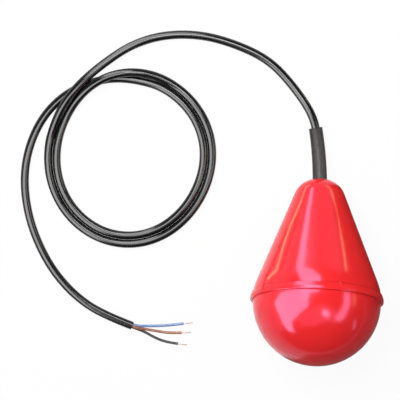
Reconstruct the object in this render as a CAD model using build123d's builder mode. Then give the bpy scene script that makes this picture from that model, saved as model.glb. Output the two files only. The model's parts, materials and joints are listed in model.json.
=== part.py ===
from build123d import *
import os
from math import acos, atan2, cos, degrees, hypot, radians, sin, sqrt, tan

os.makedirs("parts", exist_ok=True)

# Cable float switch, lying on a table. Millimetres, +Z up, the table at Z = 0.
# The float's axis lies in the YZ plane, its tip towards +Y and lower than its dome.
# Heights along that axis start at the collar's lower lip and grow towards the tip.

# Float shells
dome_radius = 59.6
collar_reach = 2.5
collar_height = 7.0
collar_lip = 3.0
collar_ledge = 1.1
collar_round = 0.6
side_step = 0.1
waist_height = 20.0
waist_step = 3.5
tip_height = 118.0
shoulder_radius = 21.5
tip_flat = 3.5
lip_gap = 0.3
wall = 3.0
spigot_step = 2.4
spigot_wall = 3.6
spigot_height = 12.0
spigot_slip = 0.1
socket_ledge = 1.5
seal_height = 5.5
seal_width = 2.4
seal_depth = 1.7
seal_round = 0.55
overrun = 1.0

# Neck, gland and bend sleeve
neck_radius = 13.5
gland_length = 22.5
gland_radius = 10.0
gland_depth = 23.5
gland_slip = 0.1
flange_thickness = 2.5
seal_length = 10.5
seal_bevel = 0.9
washer_thickness = 1.5
nut_head = 4.0
nut_flats = 22.0
nut_bevel = 0.6
sleeve_root_radius = 7.0
sleeve_end_radius = 6.4
sleeve_slip = 0.4
mouth_round = 0.9
sleeve_cover = 10.0
sleeve_length = 60.0
sleeve_side_turn = 12.0
gusset_count = 6
gusset_thickness = 2.0
gusset_depth = 27.0
gusset_drop = 32.5

# Cable
cable_radius = 4.0
cable_slip = 0.1
cable_past_nut = 16.0
exit_run = 12.0
crossing_gap = 0.25
table_gap = 0.05
coil_round = 3.0
bend_share = 0.45
core_radius = 1.3
core_spread = 1.6
core_exit_run = 5.0
core_end_run = 14.4
strand_radius = 0.72
strand_length = 9.0
strand_bevel = 0.43

# Inside of the dome
carrier_top = -8.0
carrier_thickness = 3.0
carrier_slip = 0.4
plate_slot_inset = 11.6
plate_slot_gap = 4.5
plate_slot_width = 11.0
boss_inset = 11.0
boss_radius = 4.5
boss_count = 3
screw_radius = 1.75
screw_head_radius = 3.6
screw_head_height = 2.2
screw_length = 12.0
screw_slip = 0.25
thread_slip = 0.05
screw_end_gap = 0.5
ballast_inset = 22.0
ballast_side = 2.24
ballast_gap = 0.2
ballast_bevel = 0.5
post_radius = 4.0
retainer_radius = 9.0
retainer_thickness = 1.5

# Rolling ball and its tube
ball_radius = 8.0
ball_slip = 0.2
ball_gap = 0.2
tube_wall = 1.6
tube_offset = 14.0
cap_thickness = 1.6
cap_spigot = 3.0
cap_round = 0.5
window_gap = 1.0
window_past = 4.8
socket_wall = 2.0
socket_height = 6.0

# Changeover switch: lever, plunger, case
lever_reach = 34.0
lever_throw = 15.2
lever_tip = 4.0
lever_width = 5.0
lever_thickness = 0.8
eye_radius = 1.6
pin_radius = 0.8
pin_slip = 0.05
pin_fit = 0.025
plunger_reach = 6.0
plunger_radius = 1.2
plunger_depth = 5.5
plunger_gap = 0.2
plunger_slip = 0.05
plunger_round = 1.1
case_height = 15.9
case_length = 28.0
case_width = 10.3
case_cover = 1.5
case_round = 0.75
case_past_pivot = 7.0
eye_clearance = 0.35
lug_thickness = 1.0
lug_gap = 0.15
case_screw_radius = 1.25
case_screw_inset = 3.0
bracket_wall = 2.5
bracket_height = 8.0
bracket_slip = 0.1
blade_width = 1.8
blade_thickness = 0.5
blade_pitch = 3.3
blade_reach = 4.1
blade_rise = 8.0
blade_sleeve_length = 8.0
blade_sleeve_wall = 0.28
core_slip = 0.02


def lean(run, rise, radius):
    """Angle off the run of a line that ends on a point and touches a circle beyond it."""
    return acos(radius / hypot(run, rise)) - atan2(run, rise)


# Where the shells' curves meet
collar_radius = dome_radius + collar_reach
side_radius = dome_radius + side_step
waist_radius = side_radius - waist_step
sleeve_bend_from = tip_height - sleeve_cover
gusset_foot = tip_height - gusset_depth
gland_roof = tip_height - gland_depth
neck_foot = gland_roof - gland_length
cable_inside_to = neck_foot - cable_past_nut
shoulder_height = tip_height - shoulder_radius
cone_lean = lean(shoulder_height - waist_height, waist_radius - tip_flat, shoulder_radius)
lie_lean = lean(shoulder_height - collar_lip, collar_radius - tip_flat, shoulder_radius)
lift = collar_lip * sin(lie_lean) + collar_radius * cos(lie_lean)
axis = Vector(0, cos(lie_lean), -sin(lie_lean))
across_axis = Vector(1, 0, 0)
down_axis = axis.cross(across_axis)

# The sleeve droops from the tip's slope to level, and turns a little to -X
sleeve_end_way = Vector(-sin(radians(sleeve_side_turn)), cos(radians(sleeve_side_turn)), 0)
sleeve_turn = radians(axis.get_angle(sleeve_end_way))
sleeve_bend_radius = sleeve_length / sleeve_turn
sleeve_inward = (sleeve_end_way - axis * cos(sleeve_turn)) * (1 / sin(sleeve_turn))


def along_sleeve(turn):
    """Offset from the start of the sleeve's bend to the point a given angle along it."""
    forward = sleeve_bend_radius * sin(turn)
    inward = sleeve_bend_radius * (1 - cos(turn))
    return axis * forward + sleeve_inward * inward


# The float is centred on the origin between its dome and the sleeve's end
sleeve_reach = (axis * sleeve_bend_from + along_sleeve(sleeve_turn)).Y
sleeve_reach += sleeve_end_radius * sin(radians(sleeve_side_turn))
centre = Vector(0, (dome_radius - sleeve_reach) / 2, lift)
sleeve_start = centre + axis * sleeve_bend_from
sleeve_middle = sleeve_start + along_sleeve(sleeve_turn / 2)
sleeve_end = sleeve_start + along_sleeve(sleeve_turn)
spin_axis = Axis(centre, axis)


def across(height):
    """Plane square to the float's axis, at a height along it."""
    return Plane(origin=centre + axis * height, x_dir=across_axis, z_dir=axis)


def lengthwise(angle=0.0):
    """Plane through the float's axis: X is the radius and Y the height along the axis."""
    turn = radians(angle)
    radial = across_axis * cos(turn) + down_axis * sin(turn)
    return Plane(origin=centre, x_dir=radial, z_dir=radial.cross(axis))


def finish(part, name):
    part.label = name
    export_step(part, f"parts/{name}.step")


# Upper shell: a revolved cone less a revolved hollow with its gussets left standing
cone_way = (-sin(cone_lean), cos(cone_lean))
cone_out = (cos(cone_lean), sin(cone_lean))
waist = (waist_radius, waist_height)
cone_top = (tip_flat + shoulder_radius * cone_out[0], shoulder_height + shoulder_radius * cone_out[1])
inner_shoulder = shoulder_radius - wall
inner_waist = (waist_radius - wall * cone_out[0], waist_height - wall * cone_out[1])
inner_cone_top = (tip_flat + inner_shoulder * cone_out[0], shoulder_height + inner_shoulder * cone_out[1])
shoulder_start = degrees(cone_lean)
spigot_radius = dome_radius - spigot_step
socket_radius = spigot_radius + spigot_slip
mouth_radius = sleeve_root_radius + sleeve_slip

with BuildPart() as shell_hollow:
    with BuildSketch(lengthwise()):
        with BuildLine():
            Polyline((0, -overrun), (dome_radius + lip_gap, -overrun),
                     (dome_radius + lip_gap, collar_lip),
                     (socket_radius, collar_lip), (socket_radius, spigot_height + lip_gap),
                     (socket_radius - socket_ledge, spigot_height + lip_gap), inner_waist, inner_cone_top)
            roof = CenterArc((tip_flat, shoulder_height), inner_shoulder, shoulder_start,
                             degrees(acos((neck_radius - tip_flat) / inner_shoulder)) - shoulder_start)
            Polyline(roof @ 1, (neck_radius, neck_foot), (0, neck_foot), (0, -overrun))
        make_face()
    revolve(axis=spin_axis)
    for number in range(gusset_count):
        with BuildSketch(lengthwise(360 * number / gusset_count)):
            with BuildLine():
                Polyline((0, gusset_foot), (side_radius, gusset_foot - gusset_drop),
                         (side_radius, tip_height), (0, tip_height), close=True)
            make_face()
        extrude(amount=gusset_thickness / 2, both=True, mode=Mode.SUBTRACT)

with BuildPart() as upper_shell:
    with BuildSketch(lengthwise()):
        with BuildLine():
            Polyline((0, 0), (collar_radius, 0), (collar_radius, collar_lip),
                     (side_radius + collar_ledge, collar_height), (side_radius, collar_height))
            TangentArc(waist, (side_radius, collar_height), tangent=(-cone_way[0], -cone_way[1]))
            Line(waist, cone_top)
            shoulder = CenterArc((tip_flat, shoulder_height), shoulder_radius, shoulder_start,
                                 90 - shoulder_start)
            Polyline(shoulder @ 1, (0, tip_height), (0, 0))
        make_face()
    revolve(axis=spin_axis)
    add(shell_hollow.part, mode=Mode.SUBTRACT)
    with BuildSketch(across(neck_foot - overrun)):
        Circle(gland_radius)
    extrude(amount=gland_roof - neck_foot + overrun, mode=Mode.SUBTRACT)
    with BuildSketch(across(gland_roof - overrun)):
        Circle(mouth_radius)
    extrude(amount=tip_height - gland_roof + 2 * overrun, mode=Mode.SUBTRACT)
    rings = upper_shell.edges().filter_by(GeomType.CIRCLE).sort_by(SortBy.RADIUS)
    fillet(rings[-2:], radius=collar_round)
    fillet(upper_shell.edges().sort_by(spin_axis)[-1], radius=mouth_round)
finish(upper_shell.part, "upper_shell")

# Lower shell: a dome with screw bosses, a ballast post and a spigot for the collar
inner_dome = dome_radius - wall
ballast_radius = inner_dome - ballast_inset
ballast_sphere = inner_dome - ballast_gap
ballast_top = ballast_side - sqrt(ballast_sphere**2 - ballast_radius**2)
bore_radius = spigot_radius - spigot_wall
boss_reach = bore_radius - boss_inset
bore_foot = -sqrt(inner_dome**2 - bore_radius**2)
boss_top = carrier_top - carrier_thickness
groove_radius = spigot_radius - seal_depth

with BuildPart() as dome_hollow:
    with BuildSketch(lengthwise()):
        with BuildLine():
            floor_arc = CenterArc((0, 0), inner_dome, -90, 90 - degrees(acos(bore_radius / inner_dome)))
            Polyline(floor_arc @ 1, (bore_radius, spigot_height + overrun), (0, spigot_height + overrun),
                     floor_arc @ 0)
        make_face()
    revolve(axis=spin_axis)
    with BuildSketch(across(boss_top)):
        with PolarLocations(boss_reach, boss_count, start_angle=90):
            Circle(boss_radius)
    extrude(amount=-dome_radius, mode=Mode.SUBTRACT)
    with BuildSketch(across(ballast_top)):
        Circle(post_radius)
    extrude(amount=-dome_radius, mode=Mode.SUBTRACT)

with BuildPart() as lower_shell:
    with BuildSketch(lengthwise()):
        with BuildLine():
            bowl = CenterArc((0, 0), dome_radius, -90, 90)
            Polyline(bowl @ 1, (dome_radius, collar_lip), (spigot_radius, collar_lip),
                     (spigot_radius, seal_height), (groove_radius, seal_height),
                     (groove_radius, seal_height + seal_width), (spigot_radius, seal_height + seal_width),
                     (spigot_radius, spigot_height), (0, spigot_height), bowl @ 0)
        make_face()
    revolve(axis=spin_axis)
    add(dome_hollow.part, mode=Mode.SUBTRACT)
    with BuildSketch(across(boss_top)):
        with PolarLocations(boss_reach, boss_count, start_angle=90):
            Circle(screw_radius)
    extrude(amount=carrier_thickness - screw_length - wall, mode=Mode.SUBTRACT)
    with BuildSketch(across(ballast_top)):
        Circle(screw_radius)
    extrude(amount=retainer_thickness - screw_length - screw_end_gap, mode=Mode.SUBTRACT)
finish(lower_shell.part, "lower_shell")

with BuildPart() as joint_seal:
    with BuildSketch(lengthwise()) as seal_section:
        with BuildLine():
            Polyline((groove_radius, seal_height + lip_gap / 2), (socket_radius, seal_height + lip_gap / 2),
                     (socket_radius, seal_height + seal_width - lip_gap / 2),
                     (groove_radius, seal_height + seal_width - lip_gap / 2), close=True)
        make_face()
        fillet(seal_section.vertices(), radius=seal_round)
    revolve(axis=spin_axis)
finish(joint_seal.part, "joint_seal")

# Gland in the neck, from its roof down: sleeve flange, rubber seal, washer, nut
seal_roof = gland_roof - flange_thickness
washer_roof = seal_roof - seal_length
nut_roof = washer_roof - washer_thickness
gland_fit = gland_radius - gland_slip


def ring(foot, roof, outer, inner):
    """Plain ring on the float's axis."""
    with BuildSketch(across(foot)) as section:
        Circle(outer)
        Circle(inner, mode=Mode.SUBTRACT)
    extrude(section.sketch, amount=roof - foot)


with BuildPart() as gland_seal:
    ring(washer_roof, seal_roof, gland_fit, cable_radius)
    ends = gland_seal.edges().filter_by(GeomType.CIRCLE).sort_by(SortBy.RADIUS)
    chamfer(ends[-2:], length=seal_bevel)
finish(gland_seal.part, "gland_seal")

with BuildPart() as gland_washer:
    ring(nut_roof, washer_roof, gland_fit, cable_radius + cable_slip)
finish(gland_washer.part, "gland_washer")

with BuildPart() as gland_nut:
    ring(neck_foot, nut_roof, gland_fit, cable_radius + cable_slip)
    with BuildSketch(across(neck_foot)):
        RegularPolygon(nut_flats / 2, 6, major_radius=False)
        Circle(cable_radius + cable_slip, mode=Mode.SUBTRACT)
    extrude(amount=-nut_head)
    corners = gland_nut.faces().sort_by(spin_axis)[0].outer_wire().edges()
    chamfer(corners, length=nut_bevel)
finish(gland_nut.part, "gland_nut")

# Bend sleeve: a flanged rubber tube that tapers along its bend
with BuildPart() as bend_sleeve:
    with BuildLine() as sleeve_line:
        ThreePointArc(sleeve_start, sleeve_middle, sleeve_end)
    with BuildSketch(across(sleeve_bend_from)):
        Circle(sleeve_root_radius)
    with BuildSketch(Plane(origin=sleeve_end, z_dir=sleeve_end_way)):
        Circle(sleeve_end_radius)
    sweep(path=sleeve_line.wire(), multisection=True)
    with BuildSketch(across(gland_roof)):
        Circle(sleeve_root_radius)
    extrude(amount=sleeve_bend_from - gland_roof)
    with BuildSketch(across(seal_roof)):
        Circle(gland_fit)
    extrude(amount=flange_thickness)
    with BuildLine() as bore_line:
        Line(centre + axis * seal_roof, sleeve_start)
        ThreePointArc(sleeve_start, sleeve_middle, sleeve_end)
    with BuildSketch(across(seal_roof)):
        Circle(cable_radius + cable_slip)
    sweep(path=bore_line.wire(), mode=Mode.SUBTRACT)
finish(bend_sleeve.part, "bend_sleeve")

# Cable from the switch to the sleeve's end, held by the gland and the sleeve all the way
with BuildPart() as cable_inner:
    with BuildLine() as inner_line:
        Line(centre + axis * cable_inside_to, sleeve_start)
        ThreePointArc(sleeve_start, sleeve_middle, sleeve_end)
    with BuildSketch(across(cable_inside_to)):
        Circle(cable_radius)
    sweep(path=inner_line.wire())
finish(cable_inner.part, "cable_inner")

# Ballast and what holds it
with BuildPart() as ballast:
    with BuildSketch(lengthwise()):
        hole_radius = post_radius + ballast_gap
        hole_angle = degrees(acos(hole_radius / ballast_sphere))
        rim_angle = degrees(acos(ballast_radius / ballast_sphere))
        with BuildLine():
            under = CenterArc((0, 0), ballast_sphere, -hole_angle, hole_angle - rim_angle)
            Polyline(under @ 1, (ballast_radius, ballast_top), (hole_radius, ballast_top), under @ 0)
        make_face()
    revolve(axis=spin_axis)
    top_rim = ballast.edges().filter_by(GeomType.CIRCLE).sort_by(spin_axis)[-2:]
    chamfer(top_rim.sort_by(SortBy.RADIUS)[-1], length=ballast_bevel)
finish(ballast.part, "ballast")

with BuildPart() as ballast_washer:
    ring(ballast_top, ballast_top + retainer_thickness, retainer_radius, screw_radius + screw_slip)
finish(ballast_washer.part, "ballast_washer")


def pan_screw(seat, shank, head_radius, head_height, shank_radius):
    """Slotted pan-head screw: the seat plane faces the way the head stands."""
    with BuildSketch(seat) as head:
        Circle(head_radius)
    extrude(head.sketch, amount=head_height)
    with BuildSketch(seat) as thread:
        Circle(shank_radius)
    extrude(thread.sketch, amount=-shank)
    with BuildSketch(seat.offset(head_height)) as slot:
        Rectangle(2 * head_radius, head_radius / 4)
    extrude(slot.sketch, amount=-head_height / 2, mode=Mode.SUBTRACT)


thread_radius = screw_radius - thread_slip
with BuildPart() as ballast_screw:
    pan_screw(across(ballast_top + retainer_thickness), screw_length, screw_head_radius,
              screw_head_height, thread_radius)
finish(ballast_screw.part, "ballast_screw")

# Ball tube on the carrier, the ball at rest against its cap
tube_inner = ball_radius + ball_slip
tube_outer = tube_inner + tube_wall
throw = radians(lever_throw)
pivot_height = carrier_top + case_height + eye_radius + eye_clearance
pivot_side = tube_offset - lever_reach
ball_stand = ball_radius + eye_radius + ball_gap
ball_travel = (ball_stand + lever_reach * sin(throw)) / cos(throw) - ball_stand
ball_height = pivot_height + ball_stand + ball_travel
cap_seat = ball_height + ball_radius + ball_gap + cap_spigot
tube_way = centre + down_axis * tube_offset


def across_tube(height):
    """Plane square to the ball tube, at a height along the float's axis."""
    return Plane(origin=tube_way + axis * height, x_dir=across_axis, z_dir=axis)


window_side = lever_width / 2 + window_gap
window_foot = pivot_height - eye_radius
window_roof = pivot_height + (lever_reach - tube_inner) * tan(throw) + window_past
with BuildPart() as ball_tube:
    with BuildSketch(across_tube(carrier_top)):
        Circle(tube_outer)
        Circle(tube_inner, mode=Mode.SUBTRACT)
    extrude(amount=cap_seat - carrier_top)
    with BuildSketch(lengthwise(90)):
        with Locations((tube_offset - tube_outer, (window_foot + window_roof) / 2)):
            Rectangle(tube_outer, window_roof - window_foot)
    extrude(amount=window_side, both=True, mode=Mode.SUBTRACT)
finish(ball_tube.part, "ball_tube")

with BuildPart() as ball_tube_cap:
    with BuildSketch(across_tube(cap_seat)):
        Circle(tube_outer)
    extrude(amount=cap_thickness)
    with BuildSketch(across_tube(cap_seat)):
        Circle(tube_inner - spigot_slip)
    extrude(amount=-cap_spigot)
    edge = ball_tube_cap.faces().sort_by(spin_axis)[-1].edges()
    fillet(edge, radius=cap_round)
finish(ball_tube_cap.part, "ball_tube_cap")

with BuildPart() as steel_ball:
    with BuildSketch(Plane(origin=tube_way + axis * ball_height, x_dir=across_axis,
                           z_dir=across_axis.cross(axis))):
        with BuildLine():
            CenterArc((0, 0), ball_radius, -90, 180)
            Line((0, ball_radius), (0, -ball_radius))
        make_face()
    revolve(axis=Axis(tube_way + axis * ball_height, axis))
finish(steel_ball.part, "steel_ball")

# Switch case: in the works plane X runs from the axis to the ball, Y along the axis
works = lengthwise(90)
case_top = carrier_top + case_height
case_left = pivot_side - case_past_pivot
case_right = case_left + case_length
case_half = case_width / 2
cover_face = case_half - case_cover
screw_places = [(case_left + case_screw_inset, carrier_top + case_screw_inset),
                (case_right - case_screw_inset, carrier_top + case_screw_inset)]
plunger_side = pivot_side + plunger_reach
strip_under = eye_radius - lever_thickness
plunger_top = pivot_height + plunger_reach * tan(throw) + strip_under / cos(throw) - plunger_gap
plunger_travel = plunger_reach * tan(throw) + strip_under / cos(throw) - strip_under
plunger_foot = case_top - plunger_depth


case_corners = [(case_left, carrier_top), (case_right, carrier_top), (case_right, case_top),
                (case_left, case_top)]
with BuildPart() as switch_case:
    with BuildSketch(works.offset(-case_half)) as case_face:
        with BuildLine():
            Polyline(*case_corners, close=True)
        make_face()
        fillet(case_face.vertices(), radius=case_round)
    extrude(amount=case_width - case_cover)
    for side in (lug_gap + lever_width / 2, -lug_gap - lever_width / 2 - lug_thickness):
        with BuildSketch(works.offset(side)):
            with Locations((pivot_side, pivot_height)):
                Circle(eye_radius + lug_thickness / 2)
            with Locations((pivot_side, (case_top + pivot_height) / 2 - eye_radius)):
                Rectangle(2 * eye_radius + lug_thickness, pivot_height - case_top + 2 * eye_radius)
        extrude(amount=lug_thickness)
    with BuildSketch(works.offset(-case_half)):
        with Locations((pivot_side, pivot_height)):
            Circle(pin_radius + pin_fit)
    extrude(amount=case_width, mode=Mode.SUBTRACT)
    with BuildSketch(works.offset(-case_half)):
        with Locations(*screw_places):
            Circle(case_screw_radius + screw_slip)
    extrude(amount=case_width, mode=Mode.SUBTRACT)
    with BuildSketch(Plane(origin=centre + down_axis * plunger_side + axis * case_top,
                           x_dir=across_axis, z_dir=axis)):
        Circle(plunger_radius + plunger_slip)
    extrude(amount=-plunger_depth - plunger_travel - plunger_gap, mode=Mode.SUBTRACT)
finish(switch_case.part, "switch_case")

with BuildPart() as switch_cover:
    with BuildSketch(works.offset(cover_face)) as cover_outline:
        with BuildLine():
            Polyline(*case_corners, close=True)
        make_face()
        fillet(cover_outline.vertices(), radius=case_round)
        with Locations(*screw_places):
            Circle(case_screw_radius + screw_slip, mode=Mode.SUBTRACT)
    extrude(amount=case_cover)
finish(switch_cover.part, "switch_cover")

with BuildPart() as switch_plunger:
    with BuildSketch(Plane(origin=centre + down_axis * plunger_side + axis * plunger_foot,
                           x_dir=across_axis, z_dir=axis)):
        Circle(plunger_radius)
    extrude(amount=plunger_top - plunger_foot)
    crown = switch_plunger.edges().filter_by(GeomType.CIRCLE).sort_by(spin_axis)[-1]
    fillet(crown, radius=plunger_round)
finish(switch_plunger.part, "switch_plunger")

pivot = centre + down_axis * pivot_side + axis * pivot_height
strip_way = down_axis * cos(throw) + axis * sin(throw)
lever_plane = Plane(origin=pivot, x_dir=strip_way, z_dir=across_axis)
with BuildPart() as switch_lever:
    with BuildSketch(lever_plane):
        Circle(eye_radius)
        with Locations((0, eye_radius)):
            Rectangle(lever_reach / cos(throw) + lever_tip, lever_thickness, align=(Align.MIN, Align.MAX))
        Circle(pin_radius + pin_slip, mode=Mode.SUBTRACT)
    extrude(amount=lever_width / 2, both=True)
finish(switch_lever.part, "switch_lever")

with BuildPart() as lever_pin:
    pin_half = lug_gap + lever_width / 2 + lug_thickness
    with BuildSketch(works.offset(-pin_half)):
        with Locations((pivot_side, pivot_height)):
            Circle(pin_radius)
    extrude(amount=2 * pin_half)
finish(lever_pin.part, "lever_pin")

# Carrier: plate on the dome's bosses, socket for the ball tube, bracket for the switch
plate_radius = bore_radius - carrier_slip
bracket_face = case_half + bracket_slip
with BuildPart() as carrier:
    with BuildSketch(across(boss_top)):
        Circle(plate_radius)
        with PolarLocations(boss_reach, boss_count, start_angle=90):
            Circle(screw_radius + screw_slip, mode=Mode.SUBTRACT)
        with PolarLocations(plate_radius - plate_slot_inset, 2):
            SlotOverall(boss_reach - 2 * plate_slot_gap, plate_slot_width, rotation=90,
                        mode=Mode.SUBTRACT)
    extrude(amount=carrier_thickness)
    with BuildSketch(across_tube(carrier_top)):
        Circle(tube_outer + spigot_slip + socket_wall)
        Circle(tube_outer + spigot_slip, mode=Mode.SUBTRACT)
    extrude(amount=socket_height)
    for face in (bracket_face, -bracket_face - bracket_wall):
        with BuildSketch(works.offset(face)):
            with BuildLine():
                Polyline((case_left, carrier_top), (case_right, carrier_top),
                         (case_right, carrier_top + bracket_height / 2),
                         (case_right - 2 * case_screw_inset, carrier_top + bracket_height),
                         (case_left, carrier_top + bracket_height), close=True)
            make_face()
            with Locations(*screw_places):
                Circle(case_screw_radius + screw_slip, mode=Mode.SUBTRACT)
        extrude(amount=bracket_wall)
finish(carrier.part, "carrier")

with BuildPart() as carrier_screws:
    for number in range(boss_count):
        place = lengthwise(90 + 360 * number / boss_count)
        seat = Plane(origin=centre + place.x_dir * boss_reach + axis * carrier_top,
                     x_dir=across_axis, z_dir=axis)
        pan_screw(seat, screw_length, screw_head_radius, screw_head_height, thread_radius)
finish(carrier_screws.part, "carrier_screws")

with BuildPart() as switch_screws:
    screw_face = bracket_face + bracket_wall
    for place in screw_places:
        seat = Plane(origin=works.offset(screw_face).from_local_coords(Vector(*place)),
                     x_dir=axis, z_dir=across_axis)
        pan_screw(seat, 2 * screw_face, 2 * case_screw_radius, case_screw_radius, case_screw_radius)
finish(switch_screws.part, "switch_screws")

# Switch blades, the sleeves over them, and the three cores from the gland
blade_way = case_left - blade_reach
blade_foot = carrier_top + case_height / 2
blade_sides = [-blade_pitch, 0, blade_pitch]
blade_tip = blade_foot + blade_rise
with BuildPart() as switch_blades:
    for side in blade_sides:
        with BuildSketch(works.offset(side - blade_thickness / 2)):
            with BuildLine():
                Polyline((case_left, blade_foot), (case_left, blade_foot + blade_width),
                         (blade_way + blade_width / 2, blade_foot + blade_width),
                         (blade_way + blade_width / 2, blade_tip), (blade_way - blade_width / 2, blade_tip),
                         (blade_way - blade_width / 2, blade_foot), close=True)
            make_face()
        extrude(amount=blade_thickness)
finish(switch_blades.part, "switch_blades")

inner_core_radius = core_radius - 2 * core_slip
with BuildPart() as blade_sleeves:
    for side in blade_sides:
        foot = blade_tip - blade_sleeve_length / 2
        spot = centre + across_axis * side + down_axis * blade_way + axis * foot
        with BuildSketch(Plane(origin=spot, x_dir=across_axis, z_dir=axis)):
            Circle(inner_core_radius + core_slip + blade_sleeve_wall)
            Circle(inner_core_radius + core_slip, mode=Mode.SUBTRACT)
        extrude(amount=blade_sleeve_length)
finish(blade_sleeves.part, "blade_sleeves")


def bend_radii(points):
    """For each corner of a route, a share of its shorter run over the tangent of half its turn."""
    radii = []
    for before, corner, after in zip(points, points[1:], points[2:]):
        run_in = corner - before
        run_out = after - corner
        half_turn = radians(run_in.get_angle(run_out)) / 2
        radii.append(bend_share * min(run_in.length, run_out.length) / tan(half_turn))
    return radii


def tube_along(points, radius, name):
    """Tube of straight runs joined by tangent arcs; prints its radii and checks its volume."""
    radii = bend_radii(points)
    with BuildLine() as line:
        FilletPolyline(*points, radius=radii)
    with BuildSketch(Plane(origin=points[0], z_dir=points[1] - points[0])) as section:
        Circle(radius)
    sweep(sections=section.sketch, path=line.wire())
    length = line.wire().length
    print(f"{name}: length {length:.1f} mm, radii", [round(r, 1) for r in radii])
    return length * section.sketch.area


core_names = ["brown", "blue", "black"]
core_angles = [210, 90, 330]
for core, angle, side in zip(core_names, core_angles, blade_sides):
    turn = radians(angle)
    gathered = centre + across_axis * core_spread * cos(turn) - down_axis * core_spread * sin(turn)
    spread = centre + across_axis * side
    landed = spread + down_axis * blade_way
    parting = cable_inside_to - core_exit_run / 2
    route = [gathered + axis * cable_inside_to, gathered + axis * parting,
             spread + axis * (parting - core_end_run), landed + axis * (blade_tip + core_end_run),
             landed + axis * blade_tip]
    with BuildPart() as inner_core:
        tube_along(route, inner_core_radius, f"{core}_core_inner")
    finish(inner_core.part, f"{core}_core_inner")

# Free cable: lead-in from the sleeve, two loose turns, lead-out to the stripped end
table = cable_radius + table_gap
crossing = table + 2 * cable_radius + crossing_gap
halfway = (table + crossing) / 2
lead_in_points = [sleeve_end, sleeve_end + sleeve_end_way * exit_run, Vector(-31, 149.5, 5),
                  Vector(-54.5, 171.5, table), Vector(-87.5, 185, table), Vector(-120.5, 192, table),
                  Vector(-155.5, 190, table), Vector(-185.5, 179, 4.5), Vector(-211, 160, halfway),
                  Vector(-230, 142.5, crossing), Vector(-246.5, 121.5, crossing),
                  Vector(-255.5, 100, halfway), Vector(-260, 78, table)]
with BuildPart() as cable_lead_in:
    expected = tube_along(lead_in_points, cable_radius, "cable_lead_in")
    print("cable_lead_in volume", cable_lead_in.part.volume, "expected", expected)
finish(cable_lead_in.part, "cable_lead_in")

coil_centre = (-182.4, 72.0)
coil_long = 82.8
coil_short = 78.0
coil_turned = 87.6
turn_pitch = 8.3
bridge_points = [Vector(-143.5, 141, table), Vector(-162.5, 151.5, 5.5), Vector(-184.5, 154, crossing),
                 Vector(-208.5, 147, crossing), Vector(-227.5, 132, halfway), Vector(-241.5, 110, table)]
with BuildPart() as cable_coil:
    with BuildSketch(Plane.XY):
        with Locations(coil_centre):
            Ellipse(coil_long + cable_radius, coil_short + cable_radius, rotation=coil_turned)
            Ellipse(coil_long - turn_pitch - cable_radius, coil_short - turn_pitch - cable_radius,
                    rotation=coil_turned, mode=Mode.SUBTRACT)
    extrude(amount=2 * table)
    fillet(cable_coil.edges(), radius=coil_round)
    tube_along(bridge_points, cable_radius, "cable_coil crossing")
finish(cable_coil.part, "cable_coil")

lead_out_points = [Vector(-171.5, 148.5, table), Vector(-195.5, 148, table), Vector(-222.5, 142, table),
                   Vector(-248, 128, table), Vector(-267.5, 105.5, table), Vector(-279, 77, table),
                   Vector(-282.5, 47, table), Vector(-278, 16, table), Vector(-268, -12, table),
                   Vector(-252, -40, table), Vector(-229.5, -64, table), Vector(-202.5, -81, table),
                   Vector(-172.5, -91, table)]
with BuildPart() as cable_lead_out:
    expected = tube_along(lead_out_points, cable_radius, "cable_lead_out")
    print("cable_lead_out volume", cable_lead_out.part.volume, "expected", expected)
finish(cable_lead_out.part, "cable_lead_out")

# Cores past the cut sheath, each with its bare end
sheath_end = lead_out_points[-1]
sheath_way = (lead_out_points[-1] - lead_out_points[-2]).normalized()
sheath_side = Vector(0, 0, 1).cross(sheath_way)
core_ends = {
    "blue": (-30, [(-159.5, -91, 1.5), (-147, -90.4, core_radius), (-134.5, -89, core_radius),
                   (-123, -87, core_radius)]),
    "brown": (90, [(-160.5, -93.9, 2.6), (-148.5, -95.5, 1.6), (-136.5, -97, core_radius),
                   (-124.5, -96, core_radius)]),
    "black": (210, [(-161, -96.5, 1.4), (-150.5, -102, core_radius), (-139, -106, core_radius),
                    (-127.5, -107, core_radius)]),
}
for core, (angle, places) in core_ends.items():
    turn = radians(angle)
    cut = sheath_end + sheath_side * core_spread * cos(turn) + Vector(0, 0, core_spread * sin(turn))
    route = [cut, cut + sheath_way * core_exit_run] + [Vector(*place) for place in places]
    with BuildPart() as free_core:
        tube_along(route, core_radius, f"{core}_core")
    finish(free_core.part, f"{core}_core")
    bare_way = (route[-1] - route[-2]).normalized()
    with BuildPart() as strand:
        with BuildSketch(Plane(origin=route[-1], z_dir=bare_way)):
            Circle(strand_radius)
        extrude(amount=strand_length)
        far_rim = strand.edges().filter_by(GeomType.CIRCLE).sort_by(Axis(route[-1], bare_way))[-1]
        chamfer(far_rim, length=strand_bevel)
    finish(strand.part, f"{core}_strand")
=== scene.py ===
import json
import math
import bpy
from mathutils import Matrix, Vector


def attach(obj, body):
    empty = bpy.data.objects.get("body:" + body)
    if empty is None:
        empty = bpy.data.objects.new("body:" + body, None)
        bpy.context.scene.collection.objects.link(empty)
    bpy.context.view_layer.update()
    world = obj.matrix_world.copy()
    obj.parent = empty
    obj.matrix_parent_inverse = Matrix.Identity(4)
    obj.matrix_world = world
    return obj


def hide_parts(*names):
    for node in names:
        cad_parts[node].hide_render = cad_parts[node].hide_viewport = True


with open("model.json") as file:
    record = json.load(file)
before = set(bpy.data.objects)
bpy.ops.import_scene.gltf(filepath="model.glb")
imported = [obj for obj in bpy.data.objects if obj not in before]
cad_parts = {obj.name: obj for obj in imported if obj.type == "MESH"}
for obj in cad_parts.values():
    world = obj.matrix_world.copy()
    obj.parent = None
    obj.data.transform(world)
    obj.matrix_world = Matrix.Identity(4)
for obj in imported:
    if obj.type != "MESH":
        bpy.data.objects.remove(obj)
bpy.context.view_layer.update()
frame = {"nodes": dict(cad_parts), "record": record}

nodes = frame["nodes"]
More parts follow.
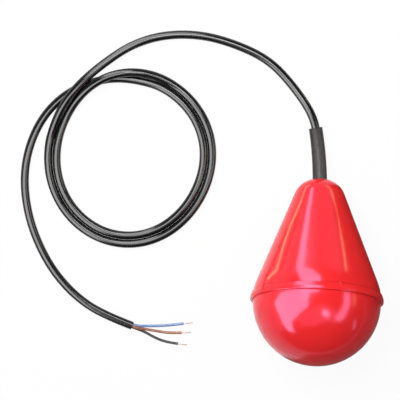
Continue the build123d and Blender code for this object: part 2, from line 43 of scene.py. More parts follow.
print("packed model loaded,", len(nodes), "nodes")


class Socket:
    # a node tree's socket that takes part in sums
    def __init__(self, tree, link=None):
        self.tree = tree
        self.link = link

    def node(self, kind, settings=None, sockets=None, out=0):
        added = self.tree.nodes.new(kind)
        for name, value in (settings or {}).items():
            if name == "stops":
                ramp = added.color_ramp.elements
                while len(ramp) < len(value):
                    ramp.new(0.5)
                for stop, (place, colour) in zip(ramp, value):
                    stop.position = place
                    stop.color = colour
            else:
                setattr(added, name, value)
        for name, value in (sockets or {}).items():
            if isinstance(value, Socket):
                self.tree.links.new(value.link, added.inputs[name])
            else:
                added.inputs[name].default_value = value
        return Socket(self.tree, added.outputs[out] if len(added.outputs) else None)

    def maths(self, operation, second=0.0, first=None):
        terms = {0: self if first is None else first, 1: second}
        return self.node("ShaderNodeMath", {"operation": operation}, terms)

    def __add__(self, other):
        return self.maths("ADD", other)

    def __radd__(self, other):
        return self.maths("ADD", self, first=other)

    def __sub__(self, other):
        return self.maths("SUBTRACT", other)

    def __rsub__(self, other):
        return self.maths("SUBTRACT", self, first=other)

    def __mul__(self, other):
        return self.maths("MULTIPLY", other)

    def __rmul__(self, other):
        return self.maths("MULTIPLY", self, first=other)

    def __truediv__(self, other):
        return self.maths("DIVIDE", other)

    def __rtruediv__(self, other):
        return self.maths("DIVIDE", self, first=other)


# The camera looks down at the table, which is turned a little under it
view = {"distance": 1.6, "pitch": 6.0, "turn": 2.72, "sensor": 36, "lensPixels": 1664.1, "framePixels": 400,
        "aim": (-0.1087, 0.0899), "floatMiddle": -0.050865}


def tableToRow(x, y, z):
    turn = math.radians(view["turn"])
    x += view["aim"][0]
    y += view["aim"][1]
    return Vector((x * math.cos(turn) - y * math.sin(turn),
                   x * math.sin(turn) + y * math.cos(turn) + view["floatMiddle"], z))


def makeCamera():
    pitch = math.radians(view["pitch"])
    aim = tableToRow(0, 0, 0)
    back = tableToRow(0, math.sin(pitch), math.cos(pitch)) - aim
    right = tableToRow(1, 0, 0) - aim
    up = back.cross(right)
    camera = bpy.data.objects.new("camera", bpy.data.cameras.new("camera"))
    bpy.context.scene.collection.objects.link(camera)
    camera.matrix_world = Matrix.Translation(aim + back * view["distance"]) @ Matrix(
        (right, up, back)).transposed().to_4x4()
    camera.data.sensor_width = view["sensor"]
    camera.data.lens = view["sensor"] * view["lensPixels"] / view["framePixels"]
    bpy.context.scene.camera = camera


makeCamera()
print("camera placed")


def newMaterial(name):
    material = bpy.data.materials.new(name)
    material.use_nodes = True
    material.node_tree.nodes.clear()
    return material, Socket(material.node_tree)


def closeMaterial(material, shader):
    shader.node("ShaderNodeOutputMaterial", None, {"Surface": shader})
    return material


def cloud(start, scale, detail):
    # a noise on the object's own coordinates, in features per metre
    place = start.node("ShaderNodeTexCoord", out="Object")
    return start.node("ShaderNodeTexNoise", None, {"Vector": place, "Scale": scale, "Detail": detail})


def mixed(low, high, share):
    return share.node("ShaderNodeMix", {"data_type": "RGBA"}, {"Factor": share, 6: low, 7: high}, out=2)


def between(low, high, share):
    return mixed((*low, 1), (*high, 1), share)


def bumps(height, strength, depth, under=None):
    sockets = {"Height": height, "Strength": strength, "Distance": depth}
    if under is not None:
        sockets["Normal"] = under
    return height.node("ShaderNodeBump", None, sockets)


# How the float lies: its middle, its lean, and the way from its dome to its tip
floatLie = {"middle": (0, -0.0504467, 0.0591041), "lean": math.radians(20.841445)}
floatLie["axis"] = (0, math.cos(floatLie["lean"]), -math.sin(floatLie["lean"]))


# Plastic shells: glossy red with soft mottling, a faint moulded waviness, and painted shade in the corner
# over the collar's ledge.
# Here and in the other looks a cloud is (scale, detail) and a bump is (strength, depth)
shell = {"deep": (0.82, 0.018, 0.018), "bright": (0.89, 0.024, 0.023), "mottle": (42, 3.0),
         "wave": (55, 1.0), "waveBump": (0.5, 0.00025), "grain": (2600, 2.0), "grainBump": (0.3, 0.00001),
         "patches": (130, 4.0), "smooth": 0.13, "dull": 0.19, "tint": (1.0, 0.5, 1.0, 1),
         "ledge": 0.0074, "ledgeSoft": 0.0007, "ledgeShade": 0.4, "ledgeShadeColour": (0.30, 0.003, 0.004, 1)}


def redShell():
    material, start = newMaterial("red shell")
    wave = bumps(cloud(start, *shell["wave"]), *shell["waveBump"])
    grain = bumps(cloud(start, *shell["grain"]), *shell["grainBump"], under=wave)
    # painted shade: the inner corner over the collar's ledge is darkened in the base colour, in a soft band
    # at the ledge's height
    place = start.node("ShaderNodeTexCoord", out="Object")
    away = start.node("ShaderNodeVectorMath", {"operation": "SUBTRACT"}, {0: place, 1: floatLie["middle"]})
    height = start.node("ShaderNodeVectorMath", {"operation": "DOT_PRODUCT"},
                        {0: away, 1: floatLie["axis"]}, out=1)
    near = (height - shell["ledge"]) / shell["ledgeSoft"]
    corner = (0.0 - near * near).maths("EXPONENT") * shell["ledgeShade"]
    red = between(shell["deep"], shell["bright"], cloud(start, *shell["mottle"]))
    return closeMaterial(material, start.node("ShaderNodeBsdfPrincipled", None, {
        "Base Color": mixed(red, shell["ledgeShadeColour"], corner),
        "Roughness": shell["smooth"] + (shell["dull"] - shell["smooth"]) * cloud(start, *shell["patches"]),
        "Specular Tint": shell["tint"], "Normal": grain}))


# Soft black cable jacket, smooth with faint handling marks
jacket = {"deep": (0.0022, 0.0021, 0.0028), "worn": (0.0060, 0.0058, 0.0070), "marks": (160, 5.0),
          "smooth": 0.13, "dull": 0.18, "grain": (3500, 2.0), "grainBump": (0.35, 0.000001), "gloss": 0.4}


def cableJacket():
    material, start = newMaterial("cable jacket")
    marks = cloud(start, *jacket["marks"])
    grain = bumps(cloud(start, *jacket["grain"]), *jacket["grainBump"])
    return closeMaterial(material, start.node("ShaderNodeBsdfPrincipled", None, {
        "Base Color": between(jacket["deep"], jacket["worn"], marks),
        "Roughness": jacket["smooth"] + (jacket["dull"] - jacket["smooth"]) * marks,
        "Specular IOR Level": jacket["gloss"],
        "Normal": grain}))


# Matte rubber with a random dusty bloom, and painted light: the colour also grows paler towards +X, the side
# away from the coil
rubber = {"bloom": (240, 6.0), "dusty": 0.5, "middle": -0.008, "width": 0.017, "rougher": 0.12,
          "gloss": 0.16, "grain": (2200, 3.0), "grainBump": (0.5, 0.00006)}
# each rubber's bloom colour is the pale end, reached both by the dust and by the painted side light
rubbers = {
    "sleeve_rubber": {"deep": (0.008, 0.007, 0.0065), "bloom": (0.068, 0.064, 0.061), "smooth": 0.36},
    "seal_rubber": {"deep": (0.012, 0.012, 0.012), "bloom": (0.028, 0.027, 0.026), "smooth": 0.38},
}


def softRubber(name, look):
    material, start = newMaterial(name)
    dust = cloud(start, *rubber["bloom"])
    place = start.node("ShaderNodeTexCoord", out="Object")
    across = start.node("ShaderNodeSeparateXYZ", None, {"Vector": place}, out=0)
    # painted light: a paleness rising across the piece towards +X, added to the random dust
    dustAndPaintedLight = rubber["dusty"] * dust + (across - rubber["middle"]) / rubber["width"]
    grain = bumps(cloud(start, *rubber["grain"]), *rubber["grainBump"])
    return closeMaterial(material, start.node("ShaderNodeBsdfPrincipled", None, {
        "Base Color": between(look["deep"], look["bloom"], dustAndPaintedLight),
        "Roughness": look["smooth"] + rubber["rougher"] * dust,
        "Specular IOR Level": rubber["gloss"], "Normal": grain}))


# Thin insulation over a conductor, a little uneven along its length
insulation = {"shade": (210, 3.0), "smooth": 0.3, "rougher": 0.14, "grain": (2800, 2.0),
              "grainBump": (0.3, 0.00001)}
coreColours = {
    "blue": {"deep": (0.085, 0.170, 0.400), "bright": (0.130, 0.230, 0.480)},
    "brown": {"deep": (0.240, 0.072, 0.030), "bright": (0.350, 0.125, 0.055)},
    "black": {"deep": (0.007, 0.007, 0.008), "bright": (0.016, 0.016, 0.018)},
}


def coreJacket(name, look):
    material, start = newMaterial(name)
    shade = cloud(start, *insulation["shade"])
    grain = bumps(cloud(start, *insulation["grain"]), *insulation["grainBump"])
    return closeMaterial(material, start.node("ShaderNodeBsdfPrincipled", None, {
        "Base Color": between(look["deep"], look["bright"], shade),
        "Roughness": insulation["smooth"] + insulation["rougher"] * shade, "Normal": grain}))


# Bare metal: tarnish shifts its colour and its polish together
tarnished = {"detail": 4.0, "finer": 9, "scratchDetail": 2.0, "strength": 0.4}
metals = {
    "bare_copper": {"dull": (0.27, 0.18, 0.145), "bright": (0.44, 0.33, 0.28), "smooth": 0.25,
                    "rough": 0.42, "scale": 900, "depth": 0.00003},
    "bright_steel": {"dull": (0.50, 0.50, 0.51), "bright": (0.68, 0.68, 0.69), "smooth": 0.22,
                     "rough": 0.38, "scale": 140, "depth": 0.00003},
    "ball_steel": {"dull": (0.66, 0.66, 0.67), "bright": (0.76, 0.76, 0.77), "smooth": 0.06,
                   "rough": 0.14, "scale": 90, "depth": 0.00001},
    "contact_brass": {"dull": (0.66, 0.48, 0.17), "bright": (0.86, 0.67, 0.30), "smooth": 0.2,
                      "rough": 0.34, "scale": 200, "depth": 0.00002},
}


def drawnMetal(name, look):
    material, start = newMaterial(name)
    tarnish = cloud(start, look["scale"], tarnished["detail"])
    scratches = cloud(start, tarnished["finer"] * look["scale"], tarnished["scratchDetail"])
    return closeMaterial(material, start.node("ShaderNodeBsdfPrincipled", None, {
        "Base Color": between(look["dull"], look["bright"], tarnish), "Metallic": 1.0,
        "Roughness": look["rough"] - (look["rough"] - look["smooth"]) * tarnish,
        "Normal": bumps(scratches, tarnished["strength"], look["depth"])}))


# Rough iron casting with rust in patches
iron = {"clean": (0.085, 0.085, 0.09, 1), "rusty": (0.12, 0.075, 0.055, 1), "rustFrom": 0.46, "rustTo": 0.72,
        "rust": (60, 5.0), "sand": (420, 6.0), "sandBump": (0.7, 0.0002), "metallic": 0.85, "smooth": 0.5,
        "rougher": 0.25}


def castIron():
    material, start = newMaterial("ballast iron")
    sand = cloud(start, *iron["sand"])
    rust = cloud(start, *iron["rust"])
    rusted = start.node("ShaderNodeValToRGB", {"stops": [
        (iron["rustFrom"], iron["clean"]), (iron["rustTo"], iron["rusty"])]}, {"Fac": rust})
    return closeMaterial(material, start.node("ShaderNodeBsdfPrincipled", None, {
        "Base Color": rusted, "Metallic": iron["metallic"],
        "Roughness": iron["smooth"] + iron["rougher"] * sand,
        "Normal": bumps(sand, *iron["sandBump"])}))


# Moulded inner pieces
moulded = {"flow": (75, 3.0), "texture": (1700, 2.0), "textureBump": (0.35, 0.00004), "rougher": 0.1}
plastics = {
    "works_plastic": {"deep": (0.68, 0.67, 0.62), "bright": (0.79, 0.78, 0.74), "smooth": 0.42},
    "tube_plastic": {"deep": (0.76, 0.76, 0.73), "bright": (0.86, 0.86, 0.84), "smooth": 0.28},
    "case_plastic": {"deep": (0.045, 0.045, 0.05), "bright": (0.07, 0.07, 0.076), "smooth": 0.4},
    "plunger_plastic": {"deep": (0.60, 0.055, 0.035), "bright": (0.76, 0.095, 0.06), "smooth": 0.36},
}


def mouldedPlastic(name, look):
    material, start = newMaterial(name)
    flow = cloud(start, *moulded["flow"])
    texture = cloud(start, *moulded["texture"])
    return closeMaterial(material, start.node("ShaderNodeBsdfPrincipled", None, {
        "Base Color": between(look["deep"], look["bright"], flow),
        "Roughness": look["smooth"] + moulded["rougher"] * texture,
        "Normal": bumps(texture, *moulded["textureBump"])}))


looks = {"red_shell": redShell(), "cable_jacket": cableJacket(), "ballast_iron": castIron()}
for core, look in coreColours.items():
    looks[core + "_core_jacket"] = coreJacket(core + " core", look)
for makeLook, table in ((softRubber, rubbers), (drawnMetal, metals), (mouldedPlastic, plastics)):
    for slot, look in table.items():
        looks[slot] = makeLook(slot.replace("_", " "), look)
nodeSlots = {row["node"]: row["material_slot"] for row in frame["record"]["subparts"]}
for name, node in nodes.items():
    node.data.materials.clear()
    node.data.materials.append(looks[nodeSlots[name]])
print("materials made,", len(looks))

# One free cable from the sleeve to the cut sheath; points in metres
cable = {
    "radius": 0.004,
    "table": 0.00405,
    "crossing": 0.0123,
    "leadIn": [(-0.006330, 0.108716, 0.009848), (-0.008824, 0.120454, 0.009848), (-0.031, 0.1495, 0.005),
               (-0.0545, 0.1715, 0.00405), (-0.0875, 0.185, 0.00405), (-0.1205, 0.192, 0.00405),
               (-0.1555, 0.190, 0.00405), (-0.1855, 0.179, 0.0045), (-0.211, 0.160, 0.008175),
               (-0.230, 0.1425, 0.0123), (-0.2465, 0.1215, 0.0123)],
    "coilMiddle": (-0.1822, 0.0719),
    "coilRadius": 0.0805,
    "coilWaves": [(2, 0.002405, 1.529), (3, -0.00072, 1.246), (4, 0.0004, -1.29)],
    "coilPitch": 0.00804,
    "coilStep": 15,
    "coilFrom": 165,
    "coilTo": 795,
    "shiftFrom": 430,  # from this angle the second turn moves inside the first
    "shiftRun": 85,
    "riseFrom": 424,  # it passes over the first arc between these two angles
    "riseRun": 26,
    "fallTo": 502,
    "fallRun": 24,
    "leadOut": [(-0.1955, 0.148, 0.00405), (-0.2225, 0.142, 0.00405), (-0.248, 0.128, 0.00405),
                (-0.2675, 0.1055, 0.00405), (-0.279, 0.077, 0.00405), (-0.2825, 0.047, 0.00405),
                (-0.278, 0.016, 0.00405), (-0.268, -0.012, 0.00405), (-0.252, -0.040, 0.00405),
                (-0.2295, -0.064, 0.00405), (-0.2025, -0.081, 0.00405), (-0.1725, -0.091, 0.00405)],
}
cores = {
    "radius": 0.0013,
    "blue": [(-0.1595, -0.091, 0.0015), (-0.147, -0.0904, 0.0013), (-0.1345, -0.089, 0.0013),
             (-0.123, -0.087, 0.0013)],
    "brown": [(-0.1605, -0.0939, 0.0026), (-0.1485, -0.0955, 0.0016), (-0.1365, -0.097, 0.0013),
              (-0.1245, -0.096, 0.0013)],
    "black": [(-0.161, -0.0965, 0.0014), (-0.1505, -0.102, 0.0013), (-0.139, -0.106, 0.0013),
              (-0.1275, -0.107, 0.0013)],
    "spread": 0.0016,
    "exitRun": 0.005,
    "angles": {"blue": -30, "brown": 90, "black": 210},
}
lineDetail = {"bevel": 6, "steps": 10, "order": 3}


def nurbs(name, points, radius):
    curve = bpy.data.curves.new(name, "CURVE")
    curve.dimensions = "3D"
    curve.bevel_depth = radius
    curve.bevel_resolution = lineDetail["bevel"]
    curve.resolution_u = lineDetail["steps"]
    curve.use_fill_caps = True
    spline = curve.splines.new("NURBS")
    spline.points.add(len(points) - 1)
    for spot, point in zip(spline.points, points):
        spot.co = (*point, 1)
    spline.order_u = lineDetail["order"]
    spline.use_endpoint_u = True
    line = bpy.data.objects.new(name, curve)
    bpy.context.scene.collection.objects.link(line)
    return line


def toMesh(source):
    bpy.context.view_layer.update()
    return bpy.data.meshes.new_from_object(source.evaluated_get(bpy.context.evaluated_depsgraph_get()))


def lineLength(line):
    bare = line.data.copy()
    bare.bevel_depth = 0
    probe = bpy.data.objects.new("probe", bare)
    bpy.context.scene.collection.objects.link(probe)
    mesh = toMesh(probe)
    bpy.data.objects.remove(probe)
    places = [vertex.co for vertex in mesh.vertices]
    return sum((places[a] - places[b]).length for a, b in (edge.vertices for edge in mesh.edges))


def clamped(share):
    return min(1.0, max(0.0, share))


def eased(share):
    return share * share * (3 - 2 * share)


def coilPoints():
    points = []
    spread = 1 / math.cos(math.radians(cable["coilStep"] / 2))
    for angle in range(cable["coilFrom"], cable["coilTo"] + 1, cable["coilStep"]):
        turn = math.radians(angle)
        radius = cable["coilRadius"]
        for waves, size, phase in cable["coilWaves"]:
            radius += size * math.cos(waves * (turn - phase))
        radius -= cable["coilPitch"] * eased(clamped((angle - cable["shiftFrom"]) / cable["shiftRun"]))
        climb = clamped((angle - cable["riseFrom"]) / cable["riseRun"])
        climb *= clamped((cable["fallTo"] - angle) / cable["fallRun"])
        height = cable["table"] + (cable["crossing"] - cable["table"]) * eased(climb)
        radius *= spread
        points.append((cable["coilMiddle"][0] + radius * math.cos(turn),
                       cable["coilMiddle"][1] + radius * math.sin(turn), height))
    return points


cableLine = nurbs("floatCable", cable["leadIn"] + coilPoints() + cable["leadOut"], cable["radius"])
cableLine.data.materials.append(looks["cable_jacket"])
cableLength = lineLength(cableLine)
print("cable laid, length", cableLength)


def coreRoute(core):
    end = Vector(cable["leadOut"][-1])
    way = (end - Vector(cable["leadOut"][-2])).normalized()
    side = Vector((0, 0, 1)).cross(way)
    turn = math.radians(cores["angles"][core])
    cut = end + side * cores["spread"] * math.cos(turn) + Vector((0, 0, cores["spread"] * math.sin(turn)))
    return [tuple(cut), tuple(cut + way * cores["exitRun"])] + cores[core]


coreLines = {core: nurbs(core + "Core", coreRoute(core), cores["radius"]) for core in cores["angles"]}
for core, line in coreLines.items():
    line.data.materials.append(looks[core + "_core_jacket"])
print("cores laid")

# Bare conductors: a bundle of fine wires, twisted and pinched at both ends
strands = {"Wires": 19, "Bundle Radius": 0.00056, "Wire Radius": 0.00014, "Length": 0.0090, "Twist": 700.0,
           "Pinch": 0.45, "spiral": 2.39996, "steps": 18, "shortest": 0.86, "sides": 6, "seed": 7}
# Small beads that the mould leaves over the collar
nubs = {"Count": 3, "Ring Radius": 0.0606, "Height": 0.0070, "First Angle": -1.285, "Size": 0.0011,
        "wide": 1.7, "tall": 0.9, "segments": 20, "rings": 12}


def newTree(name, settings, whole=()):
    # a geometry tree with one named input for each size and a mesh coming out
    tree = bpy.data.node_groups.new(name, "GeometryNodeTree")
    tree.interface.new_socket(name="Geometry", in_out="OUTPUT", socket_type="NodeSocketGeometry")
    names = [size for size in settings if size[0].isupper()]
    for size in names:
        kind = "NodeSocketInt" if size in whole else "NodeSocketFloat"
        tree.interface.new_socket(name=size, in_out="INPUT", socket_type=kind)
    start = Socket(tree)
    entry = tree.nodes.new("NodeGroupInput")
    return tree, start, {size: Socket(tree, entry.outputs[size]) for size in names}


def growMesh(name, tree, settings):
    # the tree's result as a plain mesh, its sizes set by the sockets' identifiers
    holder = bpy.data.objects.new(name, bpy.data.meshes.new(name))
    bpy.context.scene.collection.objects.link(holder)
    modifier = holder.modifiers.new(name, "NODES")
    modifier.node_group = tree
    for item in tree.interface.items_tree:
        if item.in_out == "INPUT":
            modifier[item.identifier] = settings[item.name]
    mesh = toMesh(holder)
    holder.modifiers.clear()
    holder.data = mesh
    return holder


def closeTree(geometry, material):
    joined = geometry.node("GeometryNodeRealizeInstances", None, {"Geometry": geometry})
    coloured = geometry.node("GeometryNodeSetMaterial", None, {"Geometry": joined, "Material": material})
    geometry.node("NodeGroupOutput", None, {"Geometry": coloured})


def strandTree():
    tree, start, sizes = newTree("strands", strands, ("Wires",))
    index = start.node("GeometryNodeInputIndex")
    angle = index * strands["spiral"]
    reach = sizes["Bundle Radius"] * ((index + 0.5) / sizes["Wires"]).maths("SQRT")
    across = start.node("ShaderNodeCombineXYZ", None, {
        "X": reach * angle.maths("COSINE"), "Y": reach * angle.maths("SINE")})
    feet = start.node("GeometryNodePoints", None, {
        "Count": sizes["Wires"], "Position": across, "Radius": sizes["Wire Radius"]})
    top = start.node("ShaderNodeCombineXYZ", None, {"Z": sizes["Length"]})
    wire = start.node("GeometryNodeCurvePrimitiveLine", None, {"End": top})
    wire = start.node("GeometryNodeResampleCurve", None, {"Curve": wire, "Count": strands["steps"]})
    cutShort = start.node("FunctionNodeRandomValue", {"data_type": "FLOAT"}, {
        2: strands["shortest"], 3: 1.0, "Seed": strands["seed"]}, out=1)
    length = start.node("ShaderNodeCombineXYZ", None, {"X": 1.0, "Y": 1.0, "Z": cutShort})
    wires = start.node("GeometryNodeInstanceOnPoints", None, {
        "Points": feet, "Instance": wire, "Scale": length})
    wires = start.node("GeometryNodeRealizeInstances", None, {"Geometry": wires})
    place = start.node("GeometryNodeInputPosition")
    height = start.node("ShaderNodeSeparateXYZ", None, {"Vector": place}, out=2)
    along = height / sizes["Length"]
    fromMiddle = 2.0 * along - 1.0
    slim = 1.0 - sizes["Pinch"] * fromMiddle * fromMiddle
    narrow = start.node("ShaderNodeCombineXYZ", None, {"X": slim, "Y": slim, "Z": 1.0})
    pinched = start.node("ShaderNodeVectorMath", {"operation": "MULTIPLY"}, {0: place, 1: narrow})
    twisted = start.node("ShaderNodeVectorRotate", {"rotation_type": "Z_AXIS"}, {
        "Vector": pinched, "Angle": height * sizes["Twist"]})
    wires = start.node("GeometryNodeSetPosition", None, {"Geometry": wires, "Position": twisted})
    profile = start.node("GeometryNodeCurvePrimitiveCircle", None, {
        "Resolution": strands["sides"], "Radius": sizes["Wire Radius"]})
    solid = start.node("GeometryNodeCurveToMesh", None, {
        "Curve": wires, "Profile Curve": profile, "Fill Caps": True})
    solid = start.node("GeometryNodeSetShadeSmooth", None, {"Geometry": solid})
    closeTree(solid, looks["bare_copper"])
    return tree


def nubTree():
    tree, start, sizes = newTree("nubs", nubs, ("Count",))
    index = start.node("GeometryNodeInputIndex")
    angle = sizes["First Angle"] + index * (2 * math.pi) / sizes["Count"]
    place = start.node("ShaderNodeCombineXYZ", None, {
        "X": sizes["Ring Radius"] * angle.maths("COSINE"),
        "Y": sizes["Ring Radius"] * angle.maths("SINE"), "Z": sizes["Height"]})
    spots = start.node("GeometryNodePoints", None, {"Count": sizes["Count"], "Position": place})
    bead = start.node("GeometryNodeMeshUVSphere", None, {
        "Segments": nubs["segments"], "Rings": nubs["rings"], "Radius": sizes["Size"]})
    bead = start.node("GeometryNodeTransform", None, {
        "Geometry": bead, "Scale": (1.0, nubs["wide"], nubs["tall"])})
    facing = start.node("ShaderNodeCombineXYZ", None, {"Z": angle})
    beads = start.node("GeometryNodeInstanceOnPoints", None, {
        "Points": spots, "Instance": bead, "Rotation": facing})
    beads = start.node("GeometryNodeRealizeInstances", None, {"Geometry": beads})
    beads = start.node("GeometryNodeSetShadeSmooth", None, {"Geometry": beads})
    closeTree(beads, looks["red_shell"])
    return tree


def growStrands():
    tree = strandTree()
    grown = {}
    for core, line in coreLines.items():
        end, before = Vector(cores[core][-1]), Vector(cores[core][-2])
        bundle = growMesh(core + "Strand", tree, strands)
        turn = (end - before).to_track_quat("Z", "X").to_matrix().to_4x4()
        bundle.data.transform(Matrix.Translation(end) @ turn)
        grown[core] = bundle
    return grown


strandMeshes = growStrands()
nubMesh = growMesh("collarNubs", nubTree(), nubs)
axis = Vector(floatLie["axis"])
across = Vector((1, 0, 0))
upright = Matrix((across, axis.cross(across), axis)).transposed().to_4x4()
nubMesh.data.transform(Matrix.Translation(floatLie["middle"]) @ upright)
print("wires and nubs grown")

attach(cableLine, "float")
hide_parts("cable_lead_in", "cable_coil", "cable_lead_out")
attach(nubMesh, "float")
for core, line in coreLines.items():
    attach(line, "float")
    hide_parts(core + "_core")
    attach(strandMeshes[core], "float")
    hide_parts(core + "_strand")
    lineLength(line)
print("pieces tied to the frame")

# Studio: white table and sky, a main lamp, and boards that only the gloss picks up
studio = {
    "tableSize": 6.0, "tableWhite": 0.9, "wash": 0.94, "glossWash": 0.35, "skyOnObject": 0.33,
    "white": (1, 1, 1, 1), "warm": (1, 0.85, 0.35, 1),
    "mainLamp": {"way": (-42, 60), "far": 1.3, "side": 0.6, "glow": 13.4},
    # a board's outline is a row of (azimuth from +Y towards +X, height over the horizon) seen from the eye
    "eye": (0, -0.05, 0.06),
    "window": {"glow": 9.5, "far": 0.45, "facing": (-98, 38), "outline": [
        (-75, 18), (-63, 36), (-44, 48), (-35, 57), (-53, 68), (-84, 72), (-101, 64), (-114, 53),
        (-123, 39), (-133, 32), (-143, 29), (-138, 22), (-130, 20), (-112, 19), (-101, 15), (-92, 10)]},
    "archLight": {"glow": 17.0, "height": 0.4, "outline": [
        (-0.2, 0.17), (0.03, 0.17), (0.03, 0.33), (-0.2, 0.33)]},
    "veil": {"glow": 1.3, "far": 2.7, "facing": (-120, 75), "outline": [
        (-118, 44), (-23, 84), (60, 78), (100, 60), (118, 40), (127, 44), (150, 62), (-149, 46)]},
    "glint": {"glow": 11.0, "far": 2.5, "facing": (130, 75), "outline": [
        (112, 83), (108, 74), (123, 66), (141, 68), (155, 76)]},
    "rightArc": {"glow": 6.0, "far": 2.6, "facing": (97, 42), "outline": [
        (60, 38), (66, 28), (84, 33), (100, 38), (117, 41), (125, 49), (121, 58), (99, 52), (79, 45)]},
    "warmStreak": {"glow": 4.0, "far": 2.6, "facing": (84, 26), "warm": True, "outline": [
        (69, 23), (71, 18), (89, 21), (89, 28)]},
    "lowSpot": {"glow": 3.0, "far": 2.6, "facing": (116, 15), "outline": [
        (111, 20), (110, 15), (122, 9), (123, 14)]},
    "tallBoard": {"glow": 8.5, "far": 2.2, "facing": (-22, 25), "eye": (-0.01, 0.04, 0.05), "outline": [
        (-33, -1), (-23.5, -1), (-23, 10), (-14, 17), (2, 30), (2, 62), (-40, 62), (-35, 25)]},
    "warmPost": {"glow": 10.0, "far": 0.6, "facing": (42, 0), "eye": (0.01, 0.04, 0.05), "warm": True,
                 "outline": [(40.5, -4.5), (43.5, -4.5), (43.5, 6), (40.5, 6)]},
    "tipBand": {"glow": 8.0, "tall": 0.006, "low": [
        (0.022, 0.114, 0.031), (0.037, 0.107, 0.036), (0.042, 0.102, 0.042), (0.048, 0.095, 0.040),
        (0.049, 0.088, 0.046)]},
    "warmBand": {"glow": 8.0, "tall": 0.006, "low": [
        (-0.030, 0.094, 0.019), (-0.037, 0.090, 0.0185), (-0.046, 0.0835, 0.023), (-0.048, 0.076, 0.027),
        (-0.053, 0.063, 0.032), (-0.061, 0.043, 0.035), (-0.065, 0.031, 0.044), (-0.069, 0.019, 0.052),
        (-0.073, 0.006, 0.067), (-0.078, -0.005, 0.064), (-0.081, -0.014, 0.061)]},
    # painted shade: card and darkCard are grey and dark sheets on the table, seen only in reflections,
    # standing in for the table's shade beside the float
    "darkCard": [(0.012, 0.02), (0.06, -0.055), (1.3, -0.2), (3.0, 2.0), (0.8, 2.0), (0.05, 0.14)],
    "card": [(-0.05, -0.9), (1.3, -0.9), (1.3, -0.2), (0.06, -0.055), (0.012, 0.02), (-0.035, -0.09)],
    "cardHeight": 0.0004, "cardGrey": 0.16, "darkGrey": 0.03,
}
room = {"side": 3.6, "right": 3.4, "near": -3.4, "far": 5, "top": 3.4, "foot": 1.0,
        "ceiling": 0.09, "rightWall": 0.1, "nearWall": 0.08, "upperWalls": 0.18}


def wayTo(azimuth, height):
    azimuth, height = math.radians(azimuth), math.radians(height)
    level = math.cos(height)
    return Vector((math.sin(azimuth) * level, math.cos(azimuth) * level, math.sin(height)))


def mainLamp():
    settings = studio["mainLamp"]
    way = wayTo(*settings["way"])
    light = bpy.data.lights.new("mainLamp", "AREA")
    light.size = settings["side"]
    light.energy = settings["glow"] * math.pi * settings["side"] ** 2
    made = bpy.data.objects.new("mainLamp", light)
    made.location = way * settings["far"]
    made.rotation_euler = way.to_track_quat("Z", "Y").to_euler()
    made.visible_camera = made.visible_glossy = False
    bpy.context.scene.collection.objects.link(made)


def glow(name, strength, warm=False):
    material, start = newMaterial(name)
    return closeMaterial(material, start.node("ShaderNodeEmission", None, {
        "Color": studio["warm"] if warm else studio["white"], "Strength": strength}))


def board(name, corners, material, seen=False):
    mesh = bpy.data.meshes.new(name)
    mesh.from_pydata(corners, [], [tuple(range(len(corners)))])
    mesh.materials.append(material)
    made = bpy.data.objects.new(name, mesh)
    bpy.context.scene.collection.objects.link(made)
    if not seen:
        made.visible_camera = made.visible_diffuse = made.visible_shadow = False


def tableTop():
    material, start = newMaterial("table")
    rays = {out: start.node("ShaderNodeLightPath", out=out) for out in (
        "Is Camera Ray", "Is Glossy Ray", "Is Transmission Ray")}
    share = studio["wash"] * rays["Is Camera Ray"] + studio["glossWash"] * (
        rays["Is Glossy Ray"] + rays["Is Transmission Ray"])
    paper = start.node("ShaderNodeBsdfDiffuse", None, {"Color": (*[studio["tableWhite"]] * 3, 1)})
    white = start.node("ShaderNodeEmission", None, {"Color": studio["white"], "Strength": 1.0})
    return closeMaterial(material, start.node("ShaderNodeMixShader", None, {
        "Fac": share, 1: paper, 2: white}))


def flat(outline, height):
    return [(x, y, height) for x, y in outline]


def square(side):
    return [(-side, -side), (side, -side), (side, side), (-side, side)]


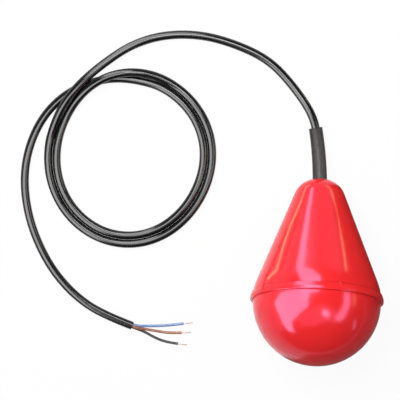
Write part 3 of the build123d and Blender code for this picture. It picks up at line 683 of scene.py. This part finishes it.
def facingBoard(name):
    # a flat board square to the way it faces, its corners along the outline's sight lines
    settings = studio[name]
    facing = wayTo(*settings["facing"])
    sights = [wayTo(*corner) for corner in settings["outline"]]
    eye = Vector(settings.get("eye", studio["eye"]))
    corners = [eye + sight * (settings["far"] / sight.dot(facing)) for sight in sights]
    board(name, corners, glow(name, settings["glow"], settings.get("warm", False)))


def walls():
    side, right, near, top, foot = (room[name] for name in ("side", "right", "near", "top", "foot"))
    board("ceiling", flat(square(side), top), glow("ceiling", room["ceiling"]))
    board("rightWall", [(right, -side, 0), (right, room["far"], 0), (right, room["far"], top),
                        (right, -side, top)], glow("right wall", room["rightWall"]))
    board("nearWall", [(-side, near, 0), (side, near, 0), (side, near, top), (-side, near, top)],
          glow("near wall", room["nearWall"]))
    board("upperWalls", [(-side, -side, top), (-side, -side, foot), (-side, side, foot), (right, side, foot),
                         (right, side, top), (-side, side, top)], glow("upper walls", room["upperWalls"]))


board("table", flat(square(studio["tableSize"]), 0), tableTop(), seen=True)
walls()
# painted shade: sheets that stand in for the table's shade in the float's reflections
board("card", flat(studio["card"], studio["cardHeight"]), glow("card", studio["cardGrey"]))
board("darkCard", flat(studio["darkCard"], studio["cardHeight"]), glow("dark card", studio["darkGrey"]))
board("archLight", flat(studio["archLight"]["outline"], studio["archLight"]["height"]),
      glow("arch light", studio["archLight"]["glow"]))
for name in ("warmBand", "tipBand"):
    low = studio[name]["low"]
    high = [(x, y, z + studio[name]["tall"]) for x, y, z in reversed(low)]
    board(name, low + high, glow(name, studio[name]["glow"], True))
for name in ("window", "veil", "glint", "rightArc", "warmStreak", "lowSpot", "tallBoard", "warmPost"):
    facingBoard(name)
mainLamp()

world = bpy.data.worlds.new("studio")
world.use_nodes = True
bpy.context.scene.world = world
world.node_tree.nodes.clear()
sky = Socket(world.node_tree)
seen = sky.node("ShaderNodeLightPath", out="Is Camera Ray") + sky.node(
    "ShaderNodeLightPath", out="Is Glossy Ray") + sky.node("ShaderNodeLightPath", out="Is Transmission Ray")
level = studio["skyOnObject"] + (1 - studio["skyOnObject"]) * seen.maths("MINIMUM", 1.0)
sky.node("ShaderNodeOutputWorld", None, {"Surface": sky.node("ShaderNodeBackground", None, {
    "Color": studio["white"], "Strength": level})})
bpy.context.scene.view_settings.view_transform = "Standard"
print("studio set")
